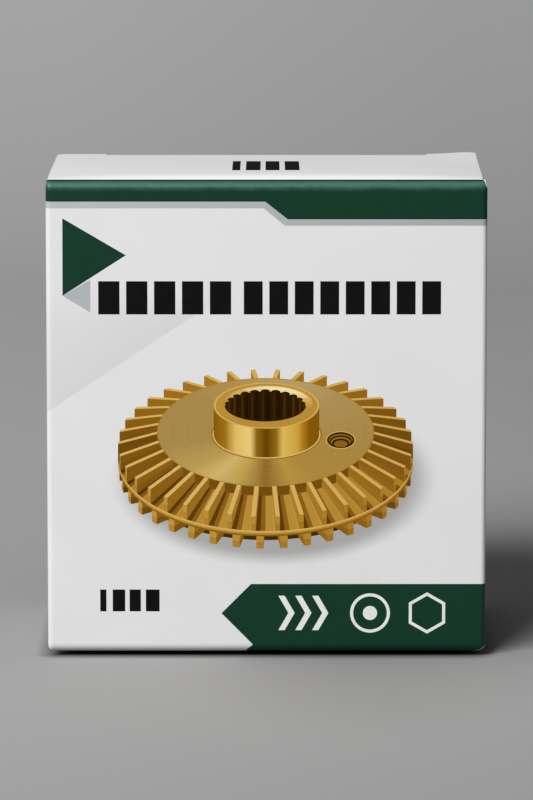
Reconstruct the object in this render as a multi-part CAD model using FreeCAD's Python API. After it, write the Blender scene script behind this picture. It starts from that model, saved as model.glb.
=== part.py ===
import FreeCAD, Part
import math, os

V = FreeCAD.Vector

# Millimetres. Z is up, the printed front faces -Y, and the origin is the middle of the base.
width = 70.0             # over the side walls
depth = 46.0             # over the front and back walls
height = 76.6            # base to the top of the closed lid
board = 0.45             # thickness of the folding board

# inside radii of the creases
upright_bend = 0.65
front_bend = 1.05        # between front wall and lid
tuck_bend = 0.75
dust_bend = 0.45
base_bend = 0.95         # opened a little by the glued flaps

# lid
lid_inset = 0.5          # each side edge of the lid, in from the wall's outer face
score_gap = 0.03         # parting of wall and lid along the middle of their crease
shoulder = 7.7           # end of the lid left flat outside each slit
slit = 0.15
shoulder_round = 1.0

# tuck flap
tuck_length = 12.0       # from the fold's outer corner to the free edge
tuck_fold_share = 0.25   # how far the flap folds in for each degree the lid opens
tuck_play = 0.12         # fold to back wall, and free edge to back wall on the way out
tuck_side_play = 1.0     # each end of the flap to the side wall
tuck_round = 5.0
tuck_taper = 1.2         # how much narrower each end is at the free edge
ear_chamfer = 1.5

# dust flaps, bent in under the lid from the side walls
dust_length = 24.0
flap_play = 0.05         # between lid and dust flaps
dust_front_gap = 2.0     # front edge of the flap, behind the front wall
dust_taper = 4.5
dust_round = 5.0
dust_hook = 7.0          # length of the straight part at the tuck flap
dust_tuck_play = 0.5

# glue flap, inside the left wall
glue_length = 12.0
glue_taper = 15.0        # degrees
glue_start = 1.5         # its ends, in from the creases
seam_set_back = 0.4      # raw edge of the left wall, from the start of the crease

# front and back walls: rounded ends of their crease lines
top_corner = 1.3
base_corner = 1.6

# glued bottom
seam_step = 4.0          # the seam of the two outer flaps runs this far off the middle
seam_gap = 0.3
window = 9.0             # how far in the outer flaps leave the side flaps bare
corner_relief = 1.0
side_flap = 18.0
side_flap_taper = 8.0
lock_width = 12.0
lock_overlap = 4.0

half_w, half_d = width / 2, depth / 2
upright_r = upright_bend + board
front_r = front_bend + board
tuck_r = tuck_bend + board
dust_r = dust_bend + board
base_r = base_bend + board

dust_top = height - board - flap_play
tube_top = min(height - front_r, dust_top - dust_r)
tube_low = board + base_r

fold_y = half_d - board - tuck_play - tuck_r
fold_z = height - tuck_r
lid_reach = fold_y + half_d
tip_sweep = ((1 - tuck_fold_share) * tuck_length) ** 2 / (2 * lid_reach)
tuck_lean = math.asin((tip_sweep + tuck_play) / tuck_length)
lid_half = half_w - lid_inset
slit_x = lid_half - shoulder
ear_half = half_w - board - tuck_side_play


def in_plan(u, v):
    return V(u, v, 0)


def in_side(u, v):
    return V(0, u, v)


def in_front(u, v):
    return V(u, 0, v)


def closed(points, place):
    """Face inside a polygon of (u, v, corner radius)."""
    n = len(points)
    edges, starts, ends = [], [], []
    for i, (u, v, r) in enumerate(points):
        here = V(u, v, 0)
        to_last = V(*points[i - 1][:2], 0) - here
        to_next = V(*points[(i + 1) % n][:2], 0) - here
        to_last.normalize()
        to_next.normalize()
        half = to_last.getAngle(to_next) / 2
        a, b = here, here
        if r > 0:
            a = here + to_last * (r / math.tan(half))
            b = here + to_next * (r / math.tan(half))
            middle = to_last + to_next
            middle.normalize()
            m = here + middle * (r / math.sin(half) - r)
            edges.append(Part.Arc(place(a.x, a.y), place(m.x, m.y), place(b.x, b.y)).toShape())
        starts.append(a)
        ends.append(b)
    for i in range(n):
        a, b = ends[i], starts[(i + 1) % n]
        if (b - a).Length > 1e-6:
            edges.append(Part.makeLine(place(a.x, a.y), place(b.x, b.y)))
    return Part.Face(Part.Wire(Part.__sortEdges__(edges)))


def folded(path, bends, place):
    """Section of the board: path is its outer face and turns left, bends are its inside radii."""
    points = [V(u, v, 0) for u, v in path]
    runs = [b - a for a, b in zip(points, points[1:])]
    for run in runs:
        run.normalize()
    lefts = [V(-run.y, run.x, 0) for run in runs]
    cuts = [0.0] + [
        (r + board) * math.tan(a.getAngle(b) / 2) for r, a, b in zip(bends, runs, runs[1:])
    ] + [0.0]
    edges = []
    sides = []
    for i, run in enumerate(runs):
        a = points[i] + run * cuts[i]
        b = points[i + 1] - run * cuts[i + 1]
        sides.append((a, b, a + lefts[i] * board, b + lefts[i] * board))
        if (b - a).Length > 1e-6:
            for p, q in (sides[-1][:2], sides[-1][2:]):
                edges.append(Part.makeLine(place(p.x, p.y), place(q.x, q.y)))
    for i, r in enumerate(bends):
        before, after = sides[i], sides[i + 1]
        centre = before[1] + lefts[i] * (r + board)
        out = (lefts[i] + lefts[i + 1]) * -1
        out.normalize()
        for k, radius in ((0, r + board), (2, r)):
            p, m, q = before[k + 1], centre + out * radius, after[k]
            edges.append(Part.Arc(place(p.x, p.y), place(m.x, m.y), place(q.x, q.y)).toShape())
    for p, q in ((sides[0][0], sides[0][2]), (sides[-1][1], sides[-1][3])):
        edges.append(Part.makeLine(place(p.x, p.y), place(q.x, q.y)))
    return Part.Face(Part.Wire(Part.__sortEdges__(edges)))


def across(face, half):
    """Prism of a side section, even about the middle of the carton."""
    face.translate(V(-half, 0, 0))
    return face.extrude(V(2 * half, 0, 0))


def along(face, low, high):
    """Prism of a front section between two depths."""
    face.translate(V(0, low, 0))
    return face.extrude(V(0, high - low, 0))


def upward(face, low, high):
    """Prism of a plan between two heights."""
    face.translate(V(0, 0, low))
    return face.extrude(V(0, 0, high - low))


def mirrored(shape):
    return shape.mirror(V(0, 0, 0), V(1, 0, 0))


def joined(shapes):
    return shapes[0].multiFuse(shapes[1:]).removeSplitter()


def mitre(corners, shift):
    """Prism from the crease's centre that parts wall and lid along the middle of their bend."""
    y = -half_d + front_r + shift
    z = height - front_r + shift
    span = 8 * front_r
    points = [(y + u * span, z + v * span, 0) for u, v in corners]
    return across(closed(points, in_side), width)


# Walls: one strip round four corners, with its raw edge over the glue flap's crease
bend_y = half_d - upright_r
seam_y = bend_y - seam_set_back
flap_x = -half_w + board
wall_section = folded(
    [(-half_w, seam_y), (-half_w, -half_d), (half_w, -half_d), (half_w, half_d), (0, half_d)],
    [upright_bend] * 3, in_plan)
glue_section = folded(
    [(0, half_d), (flap_x, half_d), (flap_x, half_d - glue_length)], [upright_bend], in_plan)
walls = upward(wall_section, tube_low, tube_top)
glue_flap = upward(glue_section, tube_low, tube_top)
drop = math.tan(math.radians(glue_taper)) * glue_length
glue_outline = closed([
    (half_d, tube_low, 0), (bend_y, tube_low, 0), (bend_y, tube_low + glue_start, 0),
    (half_d - glue_length, tube_low + glue_start + drop, 0),
    (half_d - glue_length, tube_top - glue_start - drop, 0),
    (bend_y, tube_top - glue_start, 0), (bend_y, tube_top, 0), (half_d, tube_top, 0)], in_side)
glue_flap = glue_flap.common(across(glue_outline, half_w))

envelope = upward(closed([
    (-half_w, -half_d, upright_r), (half_w, -half_d, upright_r),
    (half_w, half_d, upright_r), (-half_w, half_d, upright_r)], in_plan), 0, height)

# Front wall with half of the lid's crease, and the outer bottom flaps
front_outline = closed([
    (-half_w, 0, base_corner), (half_w, 0, base_corner),
    (half_w, height, top_corner), (-half_w, height, top_corner)], in_front)
front_mask = along(front_outline, -half_d, half_d)
front_section = folded(
    [(-half_d + 4 * front_r, height), (-half_d, height), (-half_d, 0), (half_d / 2, 0)],
    [front_bend, base_bend], in_side)
front = across(front_section, half_w).common(envelope).common(front_mask)
front = front.cut(mitre([(0, 0), (-1, 1), (1, 1), (1, 0)], -score_gap / 3))

back_section = folded(
    [(-half_d, height - board), (-half_d, 0), (half_d / 2, 0)], [base_bend], in_side)
back = across(back_section, half_w).common(envelope)
back_outline = closed([
    (-half_w, 0, base_corner), (half_w, 0, base_corner),
    (half_w, tube_top, 0), (half_w - upright_r, tube_top, 0),
    (half_w - upright_r, height - board, shoulder_round),
    (-half_w + upright_r, height - board, shoulder_round),
    (-half_w + upright_r, tube_top, 0), (-half_w, tube_top, 0)], in_front)
back = back.common(along(back_outline, -half_d, half_d)).mirror(V(0, 0, 0), V(0, 1, 0))


def bottom_flap(turn):
    """Outline of an outer bottom flap as far as the stepped seam, with the wall above it."""
    low = -half_d
    edge = seam_gap / 2
    points = [
        (-half_w, low, 0), (half_w, low, 0), (half_w, low + base_r, 0),
        (half_w - corner_relief, low + base_r, 0),
        (half_w - window, -seam_step - edge, 0), (seam_step, -seam_step - edge, 0),
        (-seam_step, seam_step - edge, 0), (-half_w + window, seam_step - edge, 0),
        (-half_w + corner_relief, low + base_r, 0), (-half_w, low + base_r, 0)]
    face = closed(points, in_plan)
    face.rotate(V(0, 0, 0), V(0, 0, 1), turn)
    return upward(face, 0, height)


def lock_tab(turn):
    """Tongue of one outer flap, laid inside the other across the seam."""
    face = closed([
        (seam_step, -seam_step - lock_overlap, 0), (seam_step + lock_width, -seam_step - lock_overlap, 0),
        (seam_step + lock_width, lock_overlap, 2.0), (seam_step, lock_overlap, 2.0)], in_plan)
    face.rotate(V(0, 0, 0), V(0, 0, 1), turn)
    return upward(face, board, 2 * board)


front = front.common(bottom_flap(0).fuse(upward(closed([
    (-half_w, -half_d, 0), (half_w, -half_d, 0), (half_w, 0, 0), (-half_w, 0, 0)], in_plan),
    base_r, height)))
back = back.common(bottom_flap(180).fuse(upward(closed([
    (-half_w, 0, 0), (half_w, 0, 0), (half_w, half_d, 0), (-half_w, half_d, 0)], in_plan),
    base_r, height)))

# Dust flap and inner bottom flap of the left wall
tip_inner = fold_y + tuck_r - tuck_length * math.sin(tuck_lean) - board
dust_back = tip_inner - dust_tuck_play
dust_front = -half_d + dust_front_gap
dust_section = folded(
    [(-half_w + dust_length, dust_top), (-half_w, dust_top), (-half_w, tube_top - upright_r)],
    [dust_bend], in_front)
dust_outline = closed([
    (-half_w, dust_front, 0), (-half_w + dust_r, dust_front, 0),
    (-half_w + dust_length, dust_front + dust_taper, dust_round),
    (-half_w + dust_length, dust_back - dust_taper, dust_round),
    (-half_w + dust_hook + dust_taper / 2, dust_back - dust_taper / 2, 0),
    (-half_w + dust_hook, dust_back, 0.8), (-half_w, dust_back, 0)], in_plan)
dust = along(dust_section, dust_front, dust_back).common(upward(dust_outline, 0, height))

side_section = folded(
    [(-half_w, tube_low + upright_r), (-half_w, board), (-half_w + side_flap, board)],
    [base_bend], in_front)
side_y = half_d - base_r - corner_relief
side_outline = closed([
    (-half_w, -side_y, 0), (-half_w + base_r, -side_y, 0),
    (-half_w + side_flap, -side_y + side_flap_taper, 2.0),
    (-half_w + side_flap, side_y - side_flap_taper, 2.0),
    (-half_w + base_r, side_y, 0), (-half_w, side_y, 0)], in_plan)
side = along(side_section, -side_y, side_y).common(upward(side_outline, 0, height))

carton_body = joined([
    walls, glue_flap, front, back, dust, mirrored(dust), side, mirrored(side),
    lock_tab(0), lock_tab(180)])

# Lid: flat panel with the other half of the front crease, and a shoulder outside each slit
lid_section = folded(
    [(fold_y, height), (-half_d, height), (-half_d, height - 2 * front_r)], [front_bend], in_side)
lid = across(lid_section, lid_half)
lid = lid.cut(mitre([(0, 0), (-1, 1), (-2, 0), (-1, -1), (0, -1)], score_gap / 3))
ledge = upward(closed([
    (slit_x, fold_y - shoulder_round, 0), (lid_half, fold_y - shoulder_round, 0),
    (lid_half, half_d, shoulder_round), (slit_x, half_d, 0)], in_plan), height - board, height)
top_lid = joined([lid, ledge, mirrored(ledge)])

# Tuck flap: the fold behind the lid, and ears below the slits
rise = tuck_r * math.tan((math.pi / 2 + tuck_lean) / 2)
corner_y = fold_y + rise
tip = (corner_y - tuck_length * math.sin(tuck_lean), height - tuck_length * math.cos(tuck_lean))
tuck_section = folded([tip, (corner_y, height), (fold_y, height)], [tuck_bend], in_side)
ear_top = fold_z - slit
neck = slit_x - slit
tuck_outline = closed([
    (-neck, height, 0), (-neck, ear_top, 0), (-ear_half, ear_top, ear_chamfer),
    (-ear_half + tuck_taper, tip[1] - board, tuck_round),
    (ear_half - tuck_taper, tip[1] - board, tuck_round),
    (ear_half, ear_top, ear_chamfer), (neck, ear_top, 0), (neck, height, 0)], in_front)
tuck_flap = across(tuck_section, ear_half).common(along(tuck_outline, 0, half_d))

os.makedirs("parts", exist_ok=True)
for name, shape in (("carton_body", carton_body), ("top_lid", top_lid), ("tuck_flap", tuck_flap)):
    shape.exportStep(f"parts/{name}.step")
    print(name, len(shape.Solids), shape.isValid(), round(shape.Volume, 2), shape.BoundBox)
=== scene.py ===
import math
from functools import partial

import bpy
import numpy as np
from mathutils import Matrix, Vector, noise
from mathutils.geometry import delaunay_2d_cdt, interpolate_bezier, tessellate_polygon


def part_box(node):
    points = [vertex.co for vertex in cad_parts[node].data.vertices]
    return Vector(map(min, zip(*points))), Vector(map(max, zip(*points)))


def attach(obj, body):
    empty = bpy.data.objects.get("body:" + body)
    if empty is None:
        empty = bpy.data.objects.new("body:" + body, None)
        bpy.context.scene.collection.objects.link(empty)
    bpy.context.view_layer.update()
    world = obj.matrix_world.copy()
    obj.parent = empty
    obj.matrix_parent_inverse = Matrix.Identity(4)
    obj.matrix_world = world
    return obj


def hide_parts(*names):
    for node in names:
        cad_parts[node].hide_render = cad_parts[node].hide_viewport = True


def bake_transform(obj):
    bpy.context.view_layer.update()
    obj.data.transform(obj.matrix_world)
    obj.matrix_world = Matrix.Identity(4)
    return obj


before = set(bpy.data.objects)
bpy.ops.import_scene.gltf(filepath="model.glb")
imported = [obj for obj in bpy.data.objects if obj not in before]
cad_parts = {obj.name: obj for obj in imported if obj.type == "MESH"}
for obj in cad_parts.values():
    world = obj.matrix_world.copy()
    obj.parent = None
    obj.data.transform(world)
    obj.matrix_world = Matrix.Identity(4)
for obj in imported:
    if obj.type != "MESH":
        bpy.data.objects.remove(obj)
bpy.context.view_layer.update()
mm = 0.001
halfPi = math.pi / 2

# Camera: solved from the carton's edges in the photograph
lens = {"place": (0, -792.6, 146.5), "down": 7.77, "long": 219.7, "sensor": 36, "near": 0.05, "far": 20}
camera = bpy.data.objects.new("camera", bpy.data.cameras.new("camera"))
camera.data.lens = lens["long"]
camera.data.sensor_width = lens["sensor"]
camera.data.clip_start = lens["near"]
camera.data.clip_end = lens["far"]
camera.location = Vector(lens["place"]) * mm
camera.rotation_euler = (math.radians(90 - lens["down"]), 0, 0)
bpy.context.collection.objects.link(camera)
bpy.context.scene.camera = camera
bpy.context.scene.view_settings.view_transform = "Standard"
print("camera ready")

# Sizes of the folded board, in millimetres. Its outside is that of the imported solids
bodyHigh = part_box("carton_body")[1] / mm
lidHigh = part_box("top_lid")[1] / mm
carton = {
    "halfW": bodyHigh.x, "halfD": bodyHigh.y, "height": lidHigh.z, "board": 0.45,
    "upright": 0.8, "front": 1.5, "tuck": 1.2, "dust": 0.9, "base": 1.4,  # outer radius of each crease
    "lidHalf": lidHigh.x, "shoulder": 7.7, "slit": 0.15,
    "foldY": 21.23, "tuckLength": 12, "tuckFree": 0.75, "tuckPlay": 0.12, "earHalf": 33.55,
    "dustTop": lidHigh.z - 0.5, "dustLength": 24, "seamBack": 0.4, "glue": 12,
    "lift": 0.75,  # the lower edges clear the floor by this, and the bottom sags to it in the middle
    "register": 0.6,  # height of the print's zero line on the blank
}
tipSweep = (carton["tuckFree"] * carton["tuckLength"]) ** 2 / (2 * (carton["foldY"] + carton["halfD"]))
lean = math.asin((tipSweep + carton["tuckPlay"]) / carton["tuckLength"])  # lets the tuck flap swing clear
flatX = carton["halfW"] - carton["upright"]
flatY = carton["halfD"] - carton["upright"]
arc = carton["upright"] * halfPi
seamY = flatY - carton["seamBack"]
leftLength = seamY + flatY
glueX = -carton["halfW"] + carton["board"]
glueLength = carton["glue"] - carton["upright"]
backLength = flatX - (glueX + carton["upright"])

# The blank's across coordinate u is x on the front wall and runs on round the corners
uLeft = -(flatX + arc)
uRight = flatX + arc
uBack = uRight + 2 * flatY + arc
uGlue = uBack + backLength + arc
uStart = uLeft - leftLength
uEnd = uGlue + glueLength
runs = [  # (kind, start, length, first point and direction of a flat, or centre and first angle of a bend)
    ("flat", uStart, leftLength, (-carton["halfW"], seamY), (0, -1)),
    ("bend", uLeft, arc, (-flatX, -flatY), 180),
    ("flat", -flatX, 2 * flatX, (-flatX, -carton["halfD"]), (1, 0)),
    ("bend", flatX, arc, (flatX, -flatY), 270),
    ("flat", uRight, 2 * flatY, (carton["halfW"], -flatY), (0, 1)),
    ("bend", uRight + 2 * flatY, arc, (flatX, flatY), 0),
    ("flat", uBack, backLength, (flatX, carton["halfD"]), (-1, 0)),
    ("bend", uBack + backLength, arc, (-flatX + carton["board"], flatY), 90),
    ("flat", uGlue, glueLength, (glueX, flatY), (0, -1)),
]


def plan(u):  # point and outward direction on the carton's outline
    for kind, start, length, at, way in runs:
        if u <= start + length or start == uGlue:
            if kind == "bend":
                a = math.radians(way) + (u - start) / carton["upright"]
                n = Vector((math.cos(a), math.sin(a)))
                return Vector(at) + n * carton["upright"], n
            t = Vector(way)
            return Vector(at) + t * (u - start), Vector((t.y, -t.x))


# How far a flap has gone in and up at v, and how far it has turned, from its folds (v, radius, turn)
def chain(v, folds):
    inward, up, turned, last = 0.0, folds[0][0], 0.0, folds[0][0]
    for at, radius, turn in folds:
        run = min(v, at) - last
        inward, up = inward + run * math.sin(turned), up + run * math.cos(turned)
        if v <= at:
            return inward, up, turned
        part = min(turn, (v - at) / radius)
        inward += radius * (math.cos(turned) - math.cos(turned + part))
        up += radius * (math.sin(turned + part) - math.sin(turned))
        turned += part
        last = at + radius * turn
        if v <= last:
            return inward, up, turned
    run = v - last
    return inward + run * math.sin(turned), up + run * math.cos(turned), turned


# Where each crease starts on the blank's upright coordinate v, and the creases of each kind of flap
vFront = carton["height"] - carton["front"]
vLid = vFront + carton["front"] * halfPi
vTuck = vLid + carton["foldY"] + carton["halfD"] - carton["front"]
vFlap = vTuck + carton["tuck"] * (halfPi + lean)
vTip = vFlap + carton["tuckLength"] - carton["tuck"] * math.tan((halfPi + lean) / 2)
vDust = carton["dustTop"] - carton["dust"]
vDustFlat = vDust + carton["dust"] * halfPi
vDustTip = vDustFlat + carton["dustLength"] - carton["dust"]
zLow = carton["lift"] + carton["board"] + carton["base"]
zTop = vFront
creases = {
    "lid": [(vFront, carton["front"], halfPi), (vTuck, carton["tuck"], halfPi + lean)],
    "shoulder": [(vFront, carton["front"], halfPi)],
    "dust": [(vDust, carton["dust"], halfPi)],
    "under": [(-carton["base"] - carton["lift"], carton["base"], halfPi)],
    "side": [(-zLow, carton["base"], halfPi)],
}
neck = carton["lidHalf"] - carton["shoulder"] - carton["slit"]  # half width of the lid between its slits

# How the sheet departs from flat: crown of the lid, bow of the walls, lift of the right shoulder
relax = {
    "lidCrown": 0.7, "crownStart": 48, "crownEdge": 0.75, "crownEnd": 0.75,
    "shoulderLift": 0.32, "liftWidth": 7, "liftFrom": 0.55, "liftRun": 0.5, "tail": 0.17,
    "wallBow": 0.12, "wave": 0.03, "waveSize": 17, "sagFrom": 1.5, "sagRun": 12,
}


def smooth(t):
    t = min(1, max(0, t))
    return t * t * (3 - 2 * t)


def depart(kind, u, v):
    wave = relax["wave"] * noise.noise(Vector((u, v, 0)) / relax["waveSize"])
    if kind == "lid" and v > vTuck:
        return wave * smooth((v - vFlap) / 3)
    if kind in ("lid", "shoulder"):
        t = (v - vLid) / (vTuck - vLid)  # from the front crease to the one behind
        across = 1 - (u / carton["lidHalf"]) ** 4 * relax["crownEdge"]
        crown = relax["lidCrown"] * (1 - math.exp(-max(0, t) * relax["crownStart"]))
        crown = crown * smooth((1 - t) / relax["crownEnd"]) * across
        lift = smooth((u - neck) / relax["liftWidth"]) * smooth((t - relax["liftFrom"]) / relax["liftRun"])
        ends = smooth(t * 6) * smooth((1 - t) * 6)
        return crown + relax["shoulderLift"] * lift + relax["tail"] * max(0, t) + wave * ends
    if kind in ("under", "side"):  # the bottom sags from its creases to the floor
        share = 1 if kind == "under" else 0.5
        inward = chain(-v, creases[kind])[0]
        return carton["lift"] * share * smooth((inward - relax["sagFrom"]) / relax["sagRun"])
    if kind == "wall":
        z = min(1, max(0, (v - zLow) / (zTop - zLow)))
        middle = 4 * z * (1 - z)
        for shape, start, length, at, way in runs:
            if shape == "flat" and start <= u <= start + length and start != uGlue:
                s = (u - start) / length
                return (relax["wallBow"] * middle + wave) * 4 * s * (1 - s) * smooth(middle * 3)
    return 0.0


# Place of a point of the blank on the made-up carton, in millimetres, and its outward direction
def fold(kind, u, v):
    if kind == "tab":
        return Vector((-u, v, carton["board"])), Vector((0, 0, -1))
    base, n = plan(u)
    down = -1 if kind in ("under", "side") else 1
    if kind in ("lid", "shoulder", "under"):  # these go on straight past the walls' round corners
        side, x = (1, flatX - (u - uBack)) if u > uRight + 5 else (-1, u)
        start, radius, turn = creases[kind][0]
        t = smooth((v * down - start) / (radius * turn))
        base = base.lerp(Vector((x, side * carton["halfD"])), t)
        n = n.lerp(Vector((0, side)), t).normalized()
    if kind == "wall":
        place, out = Vector((*base, v)), Vector((*n, 0))
    else:
        inward, up, turned = chain(v * down, creases[kind])
        place = Vector((*(base - n * inward), up * down))
        out = Vector((*(n * math.cos(turned)), math.sin(turned) * down))
    if kind == "lid" and v > vTuck:
        place.z += relax["tail"]
    return place + out * depart(kind, u, v), out


def mirror(points):
    return [(-u, v) for u, v in reversed(points)]


# Each turns x or y on its wall into u
def onFront(x):
    return x


def onLeft(y):
    return uStart + seamY - y


def onRight(y):
    return uRight + y + flatY


def onBack(x):
    return uBack + flatX - x


def roundOff(points, steps=6):  # polygon of (u, v, radius) with its corners rounded
    made = []
    for i, (u, v, r) in enumerate(points):
        if not r:
            made.append((u, v))
            continue
        here = Vector((u, v))
        a = (Vector(points[i - 1][:2]) - here).normalized()
        b = (Vector(points[(i + 1) % len(points)][:2]) - here).normalized()
        half = a.angle(b) / 2
        centre = here + (a + b).normalized() * (r / math.sin(half))
        start = here + a * (r / math.tan(half)) - centre
        end = here + b * (r / math.tan(half)) - centre
        turn = start.angle_signed(end)
        for k in range(steps + 1):
            w = k / steps
            c, s = math.cos(-turn * w), math.sin(-turn * w)
            made.append((centre.x + start.x * c - start.y * s, centre.y + start.x * s + start.y * c))
    return made


# The lid's corners beside the front crease are rounded by the die, the right one more
notch = {"left": (35.3, 1.1, 0.7), "right": (35.12, 0.35, 1.75)}  # reach, start and height of the round
lidEdge = {"left": (34.7, 34.93), "right": (34.25, 34.9)}  # half widths at the front and the back
shoulderRound = 1.7


def notchCurve(side):
    turns = [i * halfPi / 8 for i in range(9)]
    reach, start, tall = notch[side]
    wide = reach - lidEdge[side][0]
    curve = [(lidEdge[side][0] + wide * math.cos(a), zTop + start + tall * math.sin(a)) for a in turns]
    return [(uRight + 0.1, zTop)] + curve


def shoulderOutline(side):
    inner, outer, end = neck + carton["slit"], lidEdge[side][1], vTuck + carton["halfD"] - carton["foldY"]
    return roundOff([(inner, vTuck, 0), (outer, vTuck, 0), (outer, end, shoulderRound), (inner, end, 0)])


creaseBand = notchCurve("right") + [
    (lidEdge["right"][0], vLid), (-lidEdge["left"][0], vLid)] + mirror(notchCurve("left"))
lidPanel = [
    (-lidEdge["left"][0], vLid), (lidEdge["right"][0], vLid),
    (lidEdge["right"][1], vTuck), (-lidEdge["left"][1], vTuck)]
tuckBand = [(-neck, vTuck), (neck, vTuck), (neck, vFlap), (-neck, vFlap)]
ears = {"half": carton["earHalf"], "gap": 0.05, "round": 1.5, "taper": 1.2, "tipRound": 5}
rightEar = [
    (neck, vFlap, 0), (neck, vFlap + ears["gap"], 0), (ears["half"], vFlap + ears["gap"], ears["round"]),
    (ears["half"] - ears["taper"], vTip, ears["tipRound"])]
tuckPanel = roundOff([(-neck, vFlap, 0), *rightEar, *((-u, v, r) for u, v, r in reversed(rightEar[1:]))])

dustShape = {"inset": 2, "back": 20.44, "taper": 4.5, "round": 5, "hook": (8.5, 6.8), "hookRound": 0.8}


def dustFlap(at):
    front, back, taper = -carton["halfD"] + dustShape["inset"], dustShape["back"], dustShape["taper"]
    body = roundOff([
        (front, vDustFlat, 0), (front + taper, vDustTip, dustShape["round"]),
        (back - taper, vDustTip, dustShape["round"]), (back - taper / 2, vDust + dustShape["hook"][0], 0),
        (back, vDust + dustShape["hook"][1], dustShape["hookRound"])])
    return [(at(y), v) for y, v in [(front, zTop), *body, (back, zTop)]]


sideShape = {"inset": 1, "length": 18, "taper": 8, "round": 2}


def sideFlap(at):
    y = carton["halfD"] - carton["base"] - sideShape["inset"]
    taper, turn = sideShape["taper"], sideShape["round"]
    start = zLow - carton["base"] * halfPi
    tip = start - sideShape["length"] + carton["base"]
    body = roundOff([(-y, start, 0), (-y + taper, tip, turn), (y - taper, tip, turn), (y, start, 0)])
    return [(at(a), v) for a, v in [(-y, zLow), *body, (y, zLow)]]


baseCorner = {  # die-cut curve of the lower corners, its ends and handles: (out from the half width, height)
    "right": ((0.6, zLow), (0.25, 0.45), (-2.65, 0.15), (-3.2, -0.3)),
    "left": ((0.6, zLow), (0.55, 0.85), (-1.35, 0.1), (-2.2, -0.3)),
}
seam = {"step": 4, "left": 3.85, "right": -4.15, "inset": 9}  # y of the front flap's end


def cornerCurve(side):
    return [tuple(p) for p in interpolate_bezier(*(Vector(p) for p in baseCorner[side]), 9)]


def underFlap(at, sign):  # outer bottom flap, to the seam that both share
    half, step = carton["halfW"], seam["step"]
    inner = half - seam["inset"]
    reach = carton["base"] * (2 - halfPi) + carton["lift"]
    rightEnd, leftEnd = (reach - (seam[side] + carton["halfD"]) for side in ("right", "left"))
    right = [(half + a, b) for a, b in cornerCurve("right")]
    left = [(-half - a, b) for a, b in reversed(cornerCurve("left"))]
    edge = [(inner, rightEnd), (step, rightEnd), (-step, leftEnd), (-inner, leftEnd)]
    return [(at(sign * a), b) for a, b in right + edge + left]


trim = {"glueStart": 1.5, "glueEnd": 4.7, "beside": 0.5, "chamfer": 1}
glueFlap = [
    (uGlue, zLow + trim["glueStart"]), (uEnd, zLow + trim["glueEnd"]), (uEnd, zTop - trim["glueEnd"]),
    (uGlue, zTop - trim["glueStart"])]
backTop, backEnd, chamfer = carton["height"] - carton["board"], -flatX + trim["beside"], trim["chamfer"]
backStrip = [  # the back wall stands higher than the walls beside it
    (onBack(flatX), zTop), (onBack(backEnd), zTop), (onBack(backEnd), backTop - chamfer),
    (onBack(backEnd + chamfer), backTop), (onBack(flatX - chamfer), backTop),
    (onBack(flatX), backTop - chamfer)]
blank = [  # (piece, kind of fold, outline)
    ("shell", "wall", [(uStart, zLow), (uGlue, zLow), (uGlue, zTop), (uStart, zTop)]),
    ("shell", "wall", glueFlap),
    ("frontCrease", "lid", creaseBand),
    ("lid", "lid", lidPanel),
    ("lid", "shoulder", shoulderOutline("right")),
    ("lid", "shoulder", mirror(shoulderOutline("left"))),
    ("tuckCrease", "lid", tuckBand),
    ("tuck", "lid", tuckPanel),
    ("shell", "dust", dustFlap(onLeft)),
    ("shell", "dust", dustFlap(onRight)),
    ("shell", "side", sideFlap(onLeft)),
    ("shell", "side", sideFlap(onRight)),
    ("shell", "under", underFlap(onFront, 1)),
    ("shell", "under", underFlap(onBack, -1)),
    ("shell", "wall", backStrip),
]
lockTab = [
    (-4, -8.15), (-16, -8.15), (-16, 2.6), (-15.4, 3.7), (-14.4, 4), (-5.6, 4), (-4.6, 3.7), (-4, 2.6)]
tabs = [lockTab, [(-x, -y) for x, y in lockTab]]
print("blank", len(blank), "outlines")

# Print: (finish, tone, points), with later fields over earlier ones, in millimetres from its own zero line
ink = []


def printField(finish, points, tone=0.0):
    ink.append((finish, tone, [(u, v + carton["register"]) for u, v in points]))


def printBlocks(blocks, low, high):
    for a, b in blocks:
        printField("black", [(a, low), (b, low), (b, high), (a, high)])


def printAlong(finish, points, width):  # a narrow line just inside a cut edge on the right
    points = [(u, v - carton["register"]) for u, v in points]
    inner = []
    for i, (u, v) in enumerate(points):
        a, b = Vector(points[max(0, i - 1)]), Vector(points[min(len(points) - 1, i + 1)])
        run = (b - a).normalized()
        inner.append((u - run.y * width, v + run.x * width))
    for i in range(len(points) - 1):
        printField(finish, [points[i], points[i + 1], inner[i + 1], inner[i]])


def printRing(finish, middle, outer, inner, sides, turn=0.0):
    spin = [turn + 2 * math.pi * i / sides for i in range(sides)]
    around, within = (
        [(middle[0] + r * math.cos(a), middle[1] + r * math.sin(a)) for a in spin] for r in (outer, inner))
    for i in range(sides):
        k = (i + 1) % sides
        printField(finish, [around[i], around[k], within[k], within[i]])


# The top band runs round all four walls and steps down on the front and on the back
topBand = {
    "edge": (72.56, 69.76), "steps": (-0.19, 3.37), "line": (71.5, 68.74), "lineSteps": (-0.43, 2.9),
    "crease": 76.45, "sides": (78.5, 79.1), "over": 0.2, "before": 1, "end": 0.3, "trap": 0.13,
}
lowBand = {
    "top": 11.2, "tip": (-7.2, 6.46), "upper": -2.48, "lower": (-2.18, 1.35), "crease": (-3.17, 0.47),
    "under": -3,
}
corner = {
    "triangle": [(-32.33, 69.91), (-32.36, 57.58), (-22.29, 64.03)],
    "small": [(-32.36, 57.58), (-27.96, 54.9), (-27.93, 60.15)],
    "facet": [(-36.2, 38.12), (-12.01, 54.12), (-3.5, 59.75), (-3.5, 64), (-36.2, 64)],
}


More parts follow.
